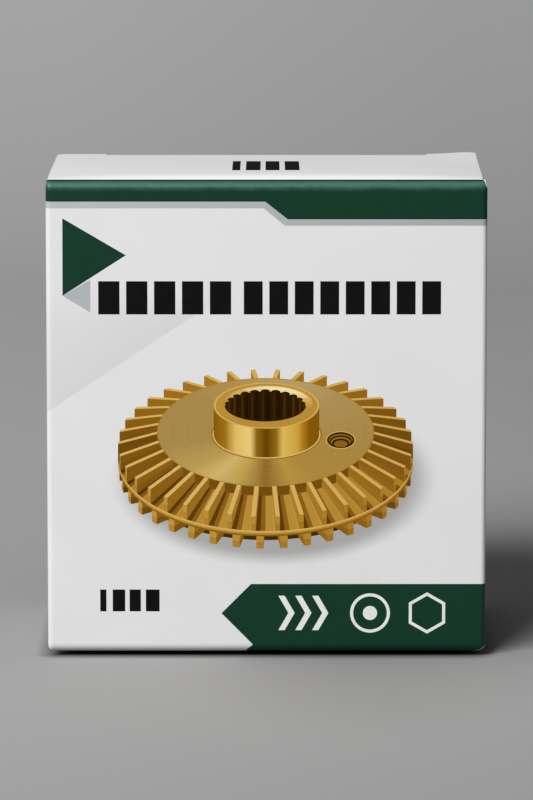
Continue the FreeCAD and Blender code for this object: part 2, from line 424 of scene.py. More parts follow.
def bandEdge(heights, steps, lift=0.0):
    left, right = heights[0] + lift, heights[1] + lift
    first, last = steps
    return [
        (uStart - topBand["before"], left), (first, left), (last, right), (onBack(last), right),
        (onBack(first), left), (uGlue - topBand["end"], left)]


def printBands():
    over, (leftSide, rightSide) = uRight + topBand["over"], topBand["sides"]
    upper = [
        (uGlue - topBand["end"], rightSide), (over, rightSide), (over, topBand["crease"]),
        (-over, topBand["crease"]), (-over, leftSide), (uStart - topBand["before"], leftSide)]
    edge = bandEdge(topBand["edge"], topBand["steps"])
    trapEdge = bandEdge(topBand["edge"], topBand["steps"], topBand["trap"])
    printField("facet", corner["facet"])
    printField("lineGrey", bandEdge(topBand["line"], topBand["lineSteps"]) + upper)
    printField("green", edge + upper)
    printField("trap", edge + trapEdge[::-1])  # green and grey overprint in a dark line
    printField("green", corner["triangle"])
    printField("smallGrey", corner["small"])
    end = uRight + 2 * flatY + arc / 2
    printField("green", [
        (lowBand["upper"], lowBand["top"]), lowBand["tip"], lowBand["lower"], lowBand["crease"],
        (lowBand["crease"][0], lowBand["under"]), (end, lowBand["under"]), (end, lowBand["top"])])


# Plain blocks in rows: two even rows on the front, one in its lower corner and one on the lid
frontRows = {"low": 54.6, "high": 59.9, "rows": ((-26.7, -5.6, 5), (-3.6, 27.7, 8)), "gap": 1.05}
cornerRow = {
    "low": 6.75, "high": 10.3, "blocks": ((-26.6, -25.6), (-24.6, -22.6), (-21.9, -20.1), (-19.3, -17.1)),
}
lidRow = {"front": -13.8, "back": 6.6, "blocks": ((-5.5, -4.2), (-3.3, -0.95), (-0.15, 2.1), (2.95, 5.3))}


def printFrontRows():
    for first, last, count in frontRows["rows"]:
        step = (last - first + frontRows["gap"]) / count
        starts = [first + step * i for i in range(count)]
        printBlocks([(a, a + step - frontRows["gap"]) for a in starts], frontRows["low"], frontRows["high"])


def onLid(y):
    return vLid + y + carton["halfD"] - carton["front"] - carton["register"]


# White signs on the lower band: three chevrons, a ring with a dot and a hexagon
signs = {
    "chevrons": (1.9, 4.6, 7.3), "low": 3.7, "high": 9.3, "stroke": 1.0, "point": 1.6,
    "ring": (16.56, 6.49), "ringSize": (3.2, 2.7), "dot": 1.15,
    "hexagon": (25.68, 6.49), "hexagonSize": (3.36, 2.8),
}


def printSigns():
    low, high, point = signs["low"], signs["high"], signs["point"]
    middle = (low + high) / 2
    for a in signs["chevrons"]:
        b = a + signs["stroke"]
        printField("white", [
            (a, low), (b, low), (b + point, middle), (b, high), (a, high), (a + point, middle)])
    printRing("white", signs["ring"], *signs["ringSize"], 32)
    printRing("white", signs["ring"], signs["dot"], 0.0, 20)
    printRing("white", signs["hexagon"], *signs["hexagonSize"], 6, math.pi / 6)


printBands()
printFrontRows()
printBlocks(cornerRow["blocks"], cornerRow["low"], cornerRow["high"])
printSigns()
printBlocks(lidRow["blocks"], onLid(lidRow["front"]), onLid(lidRow["back"]))


# Finishes. All patterns lie on the blank's own map, in millimetres
def linear(c):
    c = c / 255
    return c / 12.92 if c <= 0.04045 else ((c + 0.055) / 1.055) ** 2.4


def colour(r, g, b):  # tones are given as 0 to 255
    return (linear(r), linear(g), linear(b), 1)


def addNode(tree, kind, inputs=(), **settings):  # inputs are sockets to link or plain values
    node = tree.nodes.new(kind)
    for key, value in settings.items():
        setattr(node, key, value)
    for socket, value in dict(inputs).items():
        if isinstance(value, bpy.types.NodeSocket):
            tree.links.new(value, node.inputs[socket])
        else:
            node.inputs[socket].default_value = value
    return node


def noiseOn(tree, place, scale, detail=3.0, rough=0.5):
    inputs = {"Vector": place, "Scale": scale, "Detail": detail, "Roughness": rough}
    return addNode(tree, "ShaderNodeTexNoise", inputs).outputs["Fac"]


def spread(tree, value, low, high, toLow=0, toHigh=1, smoothly=False):
    inputs = {"Value": value, "From Min": low, "From Max": high, "To Min": toLow, "To Max": toHigh}
    way = "SMOOTHSTEP" if smoothly else "LINEAR"
    return addNode(tree, "ShaderNodeMapRange", inputs, interpolation_type=way).outputs["Result"]


def ramp(tree, value, stops, ease="LINEAR"):  # stops are (position, tone)
    node = addNode(tree, "ShaderNodeValToRGB", {"Fac": value})
    node.color_ramp.interpolation = ease
    elements, stops = node.color_ramp.elements, list(stops)
    while len(elements) < len(stops):
        elements.new(0.5)
    for element, (at, tone) in zip(elements, stops):
        element.position = at
        element.color = colour(*tone)
    return node.outputs["Color"]


def mixTwo(tree, factor, first, second, how="MIX"):
    first, second = (colour(*c) if isinstance(c, tuple) and len(c) == 3 else c for c in (first, second))
    inputs = {0: factor, 6: first, 7: second}
    return addNode(tree, "ShaderNodeMix", inputs, data_type="RGBA", blend_type=how).outputs[2]


def calc(tree, how, first, second):
    return addNode(tree, "ShaderNodeMath", {0: first, 1: second}, operation=how).outputs[0]


def vectorCalc(tree, how, first, second=(0, 0, 0)):
    return addNode(tree, "ShaderNodeVectorMath", {0: first, 1: second}, operation=how).outputs


def along(tree, place, direction):
    return vectorCalc(tree, "DOT_PRODUCT", place, direction)["Value"]


def lengthOf(tree, vector):
    return vectorCalc(tree, "LENGTH", vector)["Value"]


def mapped(tree, place, location, scale, way="POINT"):
    inputs = {"Vector": place, "Location": location, "Scale": scale}
    return addNode(tree, "ShaderNodeMapping", inputs, vector_type=way).outputs[0]


def bumped(tree, height, depth, strength, **more):
    inputs = {"Height": height, "Distance": depth * mm, "Strength": strength, **more}
    return addNode(tree, "ShaderNodeBump", inputs).outputs[0]


def startFinish(name):
    made = bpy.data.materials.new(name)
    made.use_nodes = True
    tree = made.node_tree
    blankMap = addNode(tree, "ShaderNodeUVMap", uv_map="blank").outputs[0]
    place = mapped(tree, blankMap, (0, -carton["register"], 0), (100, 100, 100))
    return made, tree, tree.nodes["Principled BSDF"].inputs, place


# Coated board: a satin varnish over a faintly fibrous, faintly dimpled sheet
varnish = {
    "roughness": (0.33, 0.41), "cloud": 0.9, "fibre": 2.6, "fibreDepth": 0.0035,
    "dimple": 0.35, "dimpleDepth": 0.02,
}


def makeVarnished(name, paint, shine=0.0, gloss=0.0):
    made, tree, shader, place = startFinish(name)
    low, high = varnish["roughness"]
    rough = spread(tree, noiseOn(tree, place, varnish["cloud"], 4), 0.3, 0.7, low - gloss, high - gloss)
    fine = bumped(tree, noiseOn(tree, place, varnish["fibre"], 4), varnish["fibreDepth"], 0.5)
    dimple = noiseOn(tree, place, varnish["dimple"], 2)
    broad = bumped(tree, dimple, varnish["dimpleDepth"], 0.6, Normal=fine)
    shader["Specular IOR Level"].default_value = shine
    for socket, value in (("Base Color", paint(tree, place)), ("Roughness", rough), ("Normal", broad)):
        tree.links.new(value, shader[socket])
    return made


# White board, slightly whiter above the front crease as painted light on the lid's top, with a soft printed
# shadow under the wheel
boardWhite = {
    "walls": ((216, 216, 216), (214, 214, 214)), "top": ((227, 227, 227), (225, 225, 225)),
    "from": (76.2, 77.4), "mottle": 0.07,
}
wheelShadow = {"middle": (1.2, 28.2), "half": (25.0, 13.6), "core": (163, 162, 161), "fade": (0.84, 1.07)}


def whiteAndLitTopPaint(tree, place):
    mottle = spread(tree, noiseOn(tree, place, boardWhite["mottle"], 3), 0.35, 0.65)
    walls, top = (mixTwo(tree, mottle, *boardWhite[part]) for part in ("walls", "top"))
    # above the front crease the board is painted lighter: painted light on the top, not a different board
    return mixTwo(tree, spread(tree, along(tree, place, (0, 1, 0)), *boardWhite["from"]), walls, top)


def boardPaint(tree, place):
    near = mapped(tree, place, (*wheelShadow["middle"], 0), (*wheelShadow["half"], 1), "TEXTURE")
    bare = spread(tree, lengthOf(tree, near), *wheelShadow["fade"], smoothly=True)
    return mixTwo(tree, bare, wheelShadow["core"], whiteAndLitTopPaint(tree, place))


# Pale grey facet: darkest along its sharp lower edge, and faded out towards its top
facet = {"edge": (204, 204, 204), "far": (211, 211, 211), "width": 15, "fade": (52, 60)}


def facetPaint(tree, place):
    start = Vector(corner["facet"][0])
    run = (Vector(corner["facet"][1]) - start).normalized()
    normal = (-run.y, run.x, 0)
    off = start.x * normal[0] + start.y * normal[1]
    depth = spread(tree, along(tree, place, normal), off, off + facet["width"])
    tone = mixTwo(tree, depth, facet["edge"], facet["far"])
    fade = spread(tree, along(tree, place, (0, 1, 0)), *facet["fade"], smoothly=True)
    return mixTwo(tree, fade, tone, whiteAndLitTopPaint(tree, place))


# Inks: two close tones in blots, or from left to right on the grey line
inks = {
    "green": ((2, 48, 32), (3, 52, 34)), "trap": ((1, 22, 13), (2, 26, 16)),
    "lineGrey": ((174, 180, 180), (156, 161, 162)), "smallGrey": ((169, 173, 175), (165, 169, 171)),
    "black": ((13, 13, 14), (17, 17, 18)), "white": ((224, 226, 225), (217, 220, 219)),
    "paleLine": ((212, 216, 213), (178, 188, 183)),
}
greyReach = 34
inkShine = {"shine": 0.26, "gloss": 0.03}
mattShine = {"shine": 0.04, "gloss": -0.35}
# Along the green's creases: a pale painted highlight where the sheet bends over, and a dark painted shade
# line in the bend
creaseGlowShade = {
    "pale": (60, 101, 91), "rise": (74.0, 75.5), "fall": (75.5, 76.4), "left": 0.3,
    "shadeTone": (2, 12, 8), "edge": (75.9, 76.9), "line": ((0, 0), (0.3, 255), (0.65, 255), (1, 0)),
}


def paintCreaseGlowShade(tree, place, shade):  # painted highlight along the green where the sheet bends over, up to a painted shade line in the crease
    height = along(tree, place, (0, 1, 0))
    uneven = spread(tree, noiseOn(tree, place, 0.3, 4, 0.6), 0.3, 0.7, -0.18, 0.18)
    up = calc(tree, "ADD", height, uneven)
    glow = calc(
        tree, "MULTIPLY", spread(tree, up, *creaseGlowShade["rise"], smoothly=True),
        spread(tree, up, *creaseGlowShade["fall"], 1, creaseGlowShade["left"], True))
    stops = [(at, (c, c, c)) for at, c in creaseGlowShade["line"]]
    line = ramp(tree, spread(tree, height, *creaseGlowShade["edge"]), stops)
    return mixTwo(tree, line, mixTwo(tree, glow, shade, creaseGlowShade["pale"]), creaseGlowShade["shadeTone"])


def inkPaint(name, tree, place):
    share = spread(tree, noiseOn(tree, place, 0.5, 5, 0.6), 0.35, 0.65)
    if name == "lineGrey":
        share = spread(tree, along(tree, place, (1, 0, 0)), -greyReach, greyReach)
    shade = mixTwo(tree, share, *inks[name])
    # the green gets the painted crease highlight and the painted shade line
    return paintCreaseGlowShade(tree, place, shade) if name == "green" else shade


# Uncoated board: grey-brown inside, paler along the cut edges, with long fibres
plainBoard = {
    "inner": ((188, 180, 166), (203, 198, 187), (214, 210, 201)),
    "raw": ((212, 210, 204), (224, 223, 219), (233, 232, 229)),
    "fibre": 1.4, "stretch": (1, 0.35, 1), "depth": 0.02, "roughness": 0.82,
}


def makePlain(name, tones):
    made, tree, shader, place = startFinish(name)
    drawn = mapped(tree, place, (0, 0, 0), plainBoard["stretch"])
    fibre = noiseOn(tree, drawn, plainBoard["fibre"], 5, 0.65)
    shader["Roughness"].default_value = plainBoard["roughness"]
    tree.links.new(ramp(tree, fibre, zip((0.3, 0.46, 0.68), plainBoard[tones])), shader["Base Color"])
    tree.links.new(bumped(tree, fibre, plainBoard["depth"], 0.7), shader["Normal"])
    return made


# The printed picture: a plain bladed wheel in brass tones, seen from above at an angle.
# Its blades are made as a ring, then laid flat on the front as print
wheel = {
    "centre": (-0.16, 35.7), "elevation": 30.3, "disc": 17.3, "rim": 23.5, "count": 38, "thick": 0.72,
    "floor": (-1.7, -4.7), "bladeTop": (0.0, -2.0), "dimBelow": -2.8, "web": -5.7, "core": (22.3, -7.1),
    "lower": (20.0, 23.3), "lowest": -8.1, "lowerThick": 1.15, "lowerTurn": 0.045, "lowerDim": -6.9,
    "light": (-0.5, -0.35, 0.79), "end": (0.6, 0.2), "top": (0.79, 0.1), "side": (0.28, 0.25, 0.1, 0.05),
    "dim": (0.08, 0.1), "lowerBack": 2, "root": 0.3,
}
bands = {  # round the wheel
    "core": 0.16, "disc": 0.34,  # tones
    "foot": (0.3, 0.42), "edge": (0.35, 0.86), "discEdge": (0.22, 0.6),  # width, tone
    "rim": (0.6, 0.08, 230), "gaps": (-0.16, 0.12, 262),  # tone, how far it swings, its brightest angle
}
hub = {
    "top": 40.0, "wide": 8.4, "tall": 3.7, "base": 31.67, "gleamAt": (0.3, 0.45), "gleamFlat": 0.4,
    "foot": ((0.45, 0.36, 0.52), (0.2, 0.18, 0.9)),  # wider, taller, tone
    "cap": ((0, 0, 0.86), (-0.3, -0.16, 0.68)),
}
viewUp, viewIn = math.cos(math.radians(wheel["elevation"])), math.sin(math.radians(wheel["elevation"]))

# Printed brass: a tone scale for the blades, a brushed disc and the hub's bright and dark streaks
brassTones = [
    (0.0, (28, 15, 2)), (0.12, (50, 29, 4)), (0.28, (95, 60, 10)), (0.42, (132, 89, 20)),
    (0.52, (152, 108, 30)), (0.64, (172, 128, 45)), (0.76, (190, 149, 68)), (0.88, (208, 170, 90)),
    (1.0, (238, 227, 180))]
discTones = [  # by the angle round the disc
    (-180, (160, 130, 70)), (-165, (160, 130, 70)), (-135, (181, 150, 78)), (-120, (205, 175, 106)),
    (-105, (185, 153, 72)), (-90, (134, 94, 27)), (-75, (177, 140, 56)), (-60, (168, 129, 53)),
    (-30, (162, 129, 58)), (0, (163, 130, 68)), (45, (167, 138, 82)), (75, (175, 154, 98)),
    (105, (170, 138, 75)), (135, (160, 130, 70)), (180, (160, 130, 70))]
hubTones = [  # from side to side
    (-8.4, (127, 87, 10)), (-6.5, (155, 111, 22)), (-4.9, (215, 182, 96)), (-2.6, (227, 195, 118)),
    (-1.6, (135, 98, 17)), (0, (95, 60, 2)), (1.6, (139, 101, 20)), (2.6, (214, 177, 87)),
    (4.9, (199, 157, 58)), (5.7, (170, 122, 31)), (6.8, (131, 86, 5)), (8.4, (124, 82, 6))]
turnLines = {"share": 0.09, "scale": 4.5, "detail": 6, "dark": (120, 88, 40), "light": (222, 198, 140)}


def brassPaint(tree, place):
    tone = addNode(tree, "ShaderNodeAttribute", attribute_name="tone").outputs["Fac"]
    grain = spread(tree, noiseOn(tree, place, 3.5, 5, 0.7), 0.3, 0.7, -0.03, 0.03)
    return ramp(tree, calc(tree, "ADD", tone, grain), brassTones)


def discPaint(tree, place):
    x, y = wheel["centre"]
    centred = mapped(tree, place, (-x, -y / viewIn, 0), (1, 1 / viewIn, 1))
    parts = addNode(tree, "ShaderNodeSeparateXYZ", {0: centred}).outputs
    share = spread(tree, calc(tree, "ARCTAN2", parts[1], parts[0]), -math.pi, math.pi)
    around = ramp(tree, share, [((a + 180) / 360, tone) for a, tone in discTones])
    rings = addNode(tree, "ShaderNodeTexNoise", {
        "W": lengthOf(tree, centred), "Scale": turnLines["scale"], "Detail": turnLines["detail"],
    }, noise_dimensions="1D")
    line = spread(tree, rings.outputs["Fac"], 0.3, 0.7)
    lines = mixTwo(tree, line, turnLines["dark"], turnLines["light"])
    return mixTwo(tree, turnLines["share"], around, lines)


def hubPaint(tree, place):
    wide = hub["wide"]
    share = spread(tree, along(tree, place, (1, 0, 0)), -wide, wide)
    return ramp(tree, share, [((x + wide) / (2 * wide), tone) for x, tone in hubTones])


finishMaterials = {
    "board": makeVarnished("coated board", boardPaint),
    "inside": makePlain("unprinted inside", "inner"),
    "rawEdge": makePlain("raw edge", "raw"),
    "facet": makeVarnished("grey facet", facetPaint),
    "brass": makeVarnished("brass print", brassPaint),
    "brassDisc": makeVarnished("brushed disc print", discPaint),
    "hubSide": makeVarnished("hub print", hubPaint),
}
for name in inks:
    look = mattShine if name == "black" else inkShine
    finishMaterials[name] = makeVarnished(name + " print", partial(inkPaint, name), **look)
print("finishes", len(finishMaterials))


def bladeRingTree():
    tree = bpy.data.node_groups.new("bladeRing", "GeometryNodeTree")
    tree.interface.new_socket("count", in_out="INPUT", socket_type="NodeSocketInt")
    for name in ("turn", "inner", "outer", "thick", "topInner", "topOuter", "lowInner", "lowOuter"):
        tree.interface.new_socket(name, in_out="INPUT", socket_type="NodeSocketFloat")
    tree.interface.new_socket("Geometry", in_out="OUTPUT", socket_type="NodeSocketGeometry")
    given = tree.nodes.new("NodeGroupInput").outputs

    def between(value, low, high):
        return spread(tree, value, -0.5, 0.5, low, high)

    cube = addNode(tree, "GeometryNodeMeshCube", {"Vertices Z": 3})
    position = addNode(tree, "GeometryNodeInputPosition").outputs[0]
    x, y, z = addNode(tree, "ShaderNodeSeparateXYZ", {0: position}).outputs
    low = between(x, given["lowInner"], given["lowOuter"])
    high = between(x, given["topInner"], given["topOuter"])
    moved = addNode(tree, "ShaderNodeCombineXYZ", {
        0: between(x, given["inner"], given["outer"]), 1: calc(tree, "MULTIPLY", y, given["thick"]),
        2: between(z, low, high)})
    blade = addNode(
        tree, "GeometryNodeSetPosition", {"Geometry": cube.outputs["Mesh"], "Position": moved.outputs[0]})
    spots = addNode(tree, "GeometryNodePoints", {"Count": given["count"]})
    number = addNode(tree, "GeometryNodeInputIndex").outputs[0]
    part = calc(tree, "DIVIDE", calc(tree, "MULTIPLY", number, 2 * math.pi), given["count"])
    turned = addNode(tree, "ShaderNodeCombineXYZ", {2: calc(tree, "ADD", part, given["turn"])})
    angles = addNode(tree, "FunctionNodeEulerToRotation", {0: turned.outputs[0]})
    copies = addNode(tree, "GeometryNodeInstanceOnPoints", {
        "Points": spots.outputs[0], "Instance": blade.outputs[0], "Rotation": angles.outputs[0]})
    real = addNode(tree, "GeometryNodeRealizeInstances", {0: copies.outputs[0]})
    finish = addNode(
        tree, "GeometryNodeSetMaterial", {"Geometry": real.outputs[0], "Material": finishMaterials["brass"]})
    tree.links.new(finish.outputs[0], tree.nodes.new("NodeGroupOutput").inputs[0])
    return tree


def bladeRing(tree, **sizes):  # faces of a ring of blades: (normal, corners)
    holder = bpy.data.objects.new("blades", bpy.data.meshes.new("blades"))
    bpy.context.collection.objects.link(holder)
    modifier = holder.modifiers.new("blades", "NODES")
    modifier.node_group = tree
    for item in tree.interface.items_tree:
        if item.in_out == "INPUT":
            modifier[item.identifier] = sizes[item.name]
    bpy.context.view_layer.update()
    mesh = bpy.data.meshes.new_from_object(holder.evaluated_get(bpy.context.evaluated_depsgraph_get()))
    corners = [vertex.co.copy() for vertex in mesh.vertices]
    faces = [(face.normal.copy(), [corners[i] for i in face.vertices]) for face in mesh.polygons]
    holder.modifiers.remove(modifier)
    bpy.data.objects.remove(holder)
    bpy.data.meshes.remove(mesh)
    return faces


def onPicture(x, y, z):
    return (wheel["centre"][0] + x, wheel["centre"][1] + y * viewIn + z * viewUp)


def atRadius(radius, angle, height):
    return onPicture(radius * math.cos(angle), radius * math.sin(angle), height)


viewer = Vector((0, -viewUp, viewIn))
shineFrom = Vector(wheel["light"]).normalized()


def bladeTone(normal, middle, dim):
    outwards = Vector((middle.x, middle.y, 0)).normalized()
    lit = max(0, normal.dot(shineFrom))
    endDim, sideDim = wheel["dim"] if dim else (0, 0)
    if normal.z > 0.5:
        return wheel["top"][0] + wheel["top"][1] * lit
    if normal.dot(outwards) > 0.8:
        return wheel["end"][0] + wheel["end"][1] * lit - endDim
    plain, facing, shine, grain = wheel["side"]
    return plain + facing * abs(outwards.y) + shine * lit + grain * noise.noise(middle) - sideDim


def drawBlades(faces, dimBelow, upTo=math.inf):
    shown = [(normal, points) for normal, points in faces if normal.dot(viewer) > 0.03]
    shown.sort(key=lambda face: sum((p.dot(viewer) for p in face[1]), 0.0) / len(face[1]))
    for normal, points in shown:
        middle = sum(points, Vector()) / len(points)
        if middle.y <= upTo:
            tone = bladeTone(normal, middle, middle.z < dimBelow)
            printField("brass", [onPicture(*p) for p in points], tone)


def drawRound(inner, outer, heights, angles, tone):  # a band round the wheel, or a flat ring
    for first, last in zip(angles, angles[1:]):
        a, b = math.radians(first), math.radians(last)
        level = tone(math.degrees(a + b) / 2) if callable(tone) else tone
        printField("brass", [
            atRadius(outer, a, heights[1]), atRadius(outer, b, heights[1]),
            atRadius(inner, b, heights[0]), atRadius(inner, a, heights[0])], level)


def ellipse(centre, wide, tall, start=0, end=360, count=40):
    angles = [math.radians(start + (end - start) * i / count) for i in range(count + (end - start < 360))]
    return [(centre[0] + wide * math.cos(a), centre[1] + tall * math.sin(a)) for a in angles]


frontHalf = [180 + 4 * i for i in range(46)]
wholeTurn = [6 * i for i in range(61)]


def drawLowerRing(tree):
    (core, low), (inner, outer), web, lowest = wheel["core"], wheel["lower"], wheel["web"], wheel["lowest"]
    drawRound(core, core, (low, web), frontHalf, bands["core"])
    faces = bladeRing(
        tree, count=wheel["count"], turn=wheel["lowerTurn"], inner=inner, outer=outer,
        thick=wheel["lowerThick"], topInner=web, topOuter=web, lowInner=lowest, lowOuter=lowest)
    drawBlades(faces, wheel["lowerDim"], wheel["lowerBack"])


# Along the rim: (share of the gap between two blades, its end, tone), from the shaded side to the lit one
gapTones = ((0, 0.3, 0.3), (0.3, 0.5, 0.48), (0.5, 0.85, 0.72), (0.85, 1, 0.8))


def swung(name, angle):
    tone, swing, towards = bands[name]
    return tone + swing * math.cos(math.radians(angle - towards))


def drawRim():
    rim, web, edge, pitch = wheel["rim"], wheel["web"], wheel["floor"][1], 360 / wheel["count"]
    drawRound(rim, rim, (web, edge), frontHalf, partial(swung, "rim"))
    width, tone = bands["foot"]
    drawRound(rim, rim, (web, web + width), frontHalf, tone)
    width, tone = bands["edge"]
    drawRound(rim, rim, (edge - width, edge), frontHalf, tone)
    for i in range(wheel["count"]):
        start = pitch * i
        for share, end, tone in gapTones:
            a, b = start + pitch * share, start + pitch * end
            if 0 < start < 178:
                a, b = 2 * start + pitch - b, 2 * start + pitch - a
            drawRound(wheel["disc"], rim, wheel["floor"], (a, b), tone + swung("gaps", start))


def drawUpperRing(tree):
    disc, (topInner, topOuter), (lowInner, lowOuter) = wheel["disc"], wheel["bladeTop"], wheel["floor"]
    drawRound(disc, disc, (lowInner, 0), frontHalf, bands["disc"])
    faces = bladeRing(
        tree, count=wheel["count"], turn=0.0, inner=disc - wheel["root"], outer=wheel["rim"],
        thick=wheel["thick"], topInner=topInner, topOuter=topOuter, lowInner=lowInner, lowOuter=lowOuter)
    drawBlades(faces, wheel["dimBelow"])
    printField("brassDisc", [atRadius(disc, math.radians(a), 0) for a in wholeTurn[:-1]])
    width, tone = bands["discEdge"]
    drawRound(disc - width, disc, (0, 0), wholeTurn, tone)


# Gleams on the hub's top: (reach, first angle, last angle, tone)
gleams = (
    (7.1, -14, 170, 0.74), (6.95, -6, 158, 0.8), (6.8, 4, 146, 0.87), (6.62, 16, 128, 0.94),
    (6.5, 30, 108, 0.98))


def drawHub():
    wide, tall, top = hub["wide"], hub["tall"], hub["top"]
    base = (0.0, hub["base"] + tall)
    for wider, taller, tone in hub["foot"]:
        printField("brass", ellipse(base, wide + wider, tall + taller), tone)
    side = ellipse(base, wide, tall, 180, 360, 24)
    printField("hubSide", side + [(wide, top), (-wide, top)])
    for wider, taller, tone in hub["cap"]:
        printField("brass", ellipse((0.0, top), wide + wider, tall + taller), tone)
    x, y = hub["gleamAt"]
    for reach, start, end, tone in gleams:
        printField("brass", ellipse((x, top + y), reach, reach * hub["gleamFlat"], start, end, 24), tone)


bore = {
    "middle": (-0.2, 40.04), "wide": 6.47, "tall": 2.6, "teeth": 11, "depth": 0.15, "blunt": 0.6,
    "dark": 0.06, "gleam": 0.12, "across": 0.96, "up": 0.82, "down": 0.95,  # shares that the teeth reach to
    "sides": ((0.1, 0.42, 0.0), (0.42, 0.6, 0.05), (0.6, 0.8, 0.13)),  # from, to, tone on each tooth
}


def drawBore():
    (x, y), wide, tall, teeth = bore["middle"], bore["wide"], bore["tall"], bore["teeth"]
    back = []
    for i in range(teeth * 6 + 1):
        a = math.pi * i / teeth / 6
        cut = bore["depth"] * (1 - abs(math.sin(math.pi * i / 6)) ** bore["blunt"])
        back.append((x + wide * (1 - cut / 2) * math.cos(a), y + tall * (1 - cut) * math.sin(a)))
    printField("brass", ellipse((x, y), wide, tall, 180, 360, 24) + back[1:-1], bore["dark"])
    for i in range(teeth):
        for first, last, tone in bore["sides"]:
            a, b = (math.pi * (i + k) / teeth for k in (first, last))
            left, right = (x + wide * bore["across"] * math.cos(t) for t in (a, b))
            leftTop, rightTop = (y + tall * bore["up"] * math.sin(t) for t in (a, b))
            leftLow, rightLow = (y - tall * bore["down"] * math.sin(t) for t in (a, b))
            printField(
                "brass", [(left, leftLow), (left, leftTop), (right, rightTop), (right, rightLow)],
                tone + bore["gleam"] * math.cos(a) ** 2)


thread = {
    "middle": (11.82, 34.46), "wide": 2.2, "tall": 1.3, "lip": (0.18, 0.15, 0.86), "dark": 0.1, "flat": 0.85,
    "turns": (  # drop, share of the size, tone
        (0.05, 0.86, 0.46), (-0.12, 0.8, 0.12), (-0.3, 0.72, 0.52), (-0.46, 0.64, 0.1), (-0.6, 0.5, 0.44)),
}


def drawThread():
    (x, y), wide, tall = thread["middle"], thread["wide"], thread["tall"]
    wider, taller, bright = thread["lip"]
    printField("brass", ellipse((x, y), wide + wider, tall + taller, count=28), bright)
    printField("brass", ellipse((x, y), wide, tall, count=28), thread["dark"])
    for drop, share, tone in thread["turns"]:
        turn = ellipse((x, y + drop), wide * share, tall * share * thread["flat"], count=24)
        printField("brass", turn, tone)


bladeTree = bladeRingTree()
drawLowerRing(bladeTree)
drawRim()
drawUpperRing(bladeTree)
drawHub()
drawBore()
drawThread()

# A narrow pale line is printed just inside the cut of the two right corners
cornerLines = {"top": 0.24, "base": 0.16}
printAlong("white", notchCurve("right")[1:], cornerLines["top"])
cornerCut = [(carton["halfW"] + a, b) for a, b in reversed(cornerCurve("right"))]
printAlong("paleLine", cornerCut[:-1], cornerLines["base"])
print("print fields", len(ink))

# Sheets: the whole blank is cut up once, so that neighbouring pieces share their points
grid = {
    "across": 4.5, "bends": 8, "inset": 0.35, "lidRows": (0.4, 0.8, 1.4, 2.2), "dustRows": (6, 12, 18),
    "flats": ((zLow, zTop, 4.5), (vLid, vTuck, 3.2), (vFlap, vTip, 4), (-1, -27, 3.5)),  # from, to, size
}


def evenly(low, high, count):
    return [low + (high - low) * i / count for i in range(count + 1)]


def gridLines():
    acrossLines, upLines = set(), set()
    inset = grid["inset"]
    for kind, start, length, at, way in runs:
        count = grid["bends"] if kind == "bend" else max(2, round(length / grid["across"]))
        acrossLines.update(start + length * i / count for i in range(count + 1))
        if kind == "flat":
            acrossLines.update((start + inset, start + length - inset))
    for low, high, size in grid["flats"]:
        upLines.update(evenly(low, high, max(2, round(abs(high - low) / size))))
        step = inset if high > low else -inset
        upLines.update((low + step, high - step))
    upLines.update(vLid + row for row in grid["lidRows"])
    upLines.update((vDustFlat + inset, *(vDustTip - row for row in grid["dustRows"])))
    upLines.update(evenly(vFront, vLid, 10))
    base, lift = carton["base"], carton["lift"]
    for low, high in (
            (vTuck, vFlap), (vDust, vDustFlat), (lift + base, lift + base * (1 - halfPi)),
            (zLow, zLow - base * halfPi)):
        upLines.update(evenly(low, high, grid["bends"]))
    return sorted(acrossLines), sorted(upLines)


def turnedLeft(points):
    area = sum(a[0] * b[1] - b[0] * a[1] for a, b in zip(points, points[1:] + points[:1]))
    return points if area > 0 else points[::-1]


def cutBlank(outlines, fields, lines):  # points, and cells as (corners, outline, print field)
    places, edges, polygons = [], [], []
    for points in outlines:
        first = len(places)
        places += [Vector(p) for p in turnedLeft(points)]
        polygons.append(list(range(first, len(places))))
    for points in fields:
        first, count = len(places), len(points)
        places += [Vector(p) for p in points]
        edges += [(first + i, first + (i + 1) % count) for i in range(count)]
    acrossLines, upLines = lines
    ends = [((u, upLines[0]), (u, upLines[-1])) for u in acrossLines]
    ends += [((acrossLines[0], v), (acrossLines[-1], v)) for v in upLines]
    for a, b in ends:
        places += [Vector(a), Vector(b)]
        edges.append((len(places) - 2, len(places) - 1))
    cut = delaunay_2d_cdt(places, edges, polygons, 4, 1e-4)
    spots, faces, origins = cut[0], cut[2], cut[5]
    kept = [(list(face), max(sources)) for face, sources in zip(faces, origins) if sources]
    printed = whichField([insidePoint([spots[i] for i in face]) for face, source in kept], fields)
    return spots, [(face, source, field) for (face, source), field in zip(kept, printed)]


def insidePoint(loop):  # middle of the largest triangle of a cell
    best, middle = -1, loop[0]
    for a, b, c in tessellate_polygon([[Vector((*p, 0)) for p in loop]]):
        area = abs((loop[b] - loop[a]).cross(loop[c] - loop[a]))
        if area > best:
            best, middle = area, (loop[a] + loop[b] + loop[c]) / 3
    return middle


def whichField(middles, fields):  # the last print field over each point, or None
    at = np.array([tuple(p) for p in middles])
    found = np.full(len(at), -1)
    for number, points in enumerate(fields):
        ring = np.array([tuple(p) for p in points])
        near = np.nonzero(((at > ring.min(0)) & (at < ring.max(0))).all(1))[0]
        if not len(near):
            continue
        x, y = at[near, 0], at[near, 1]
        odd = np.zeros(len(near), bool)
        for (ax, ay), (bx, by) in zip(ring, np.roll(ring, -1, 0)):
            if ay != by:
                odd ^= ((ay > y) != (by > y)) & (x < ax + (bx - ax) * (y - ay) / (by - ay))
        found[near[odd]] = number
    return [None if i < 0 else int(i) for i in found]


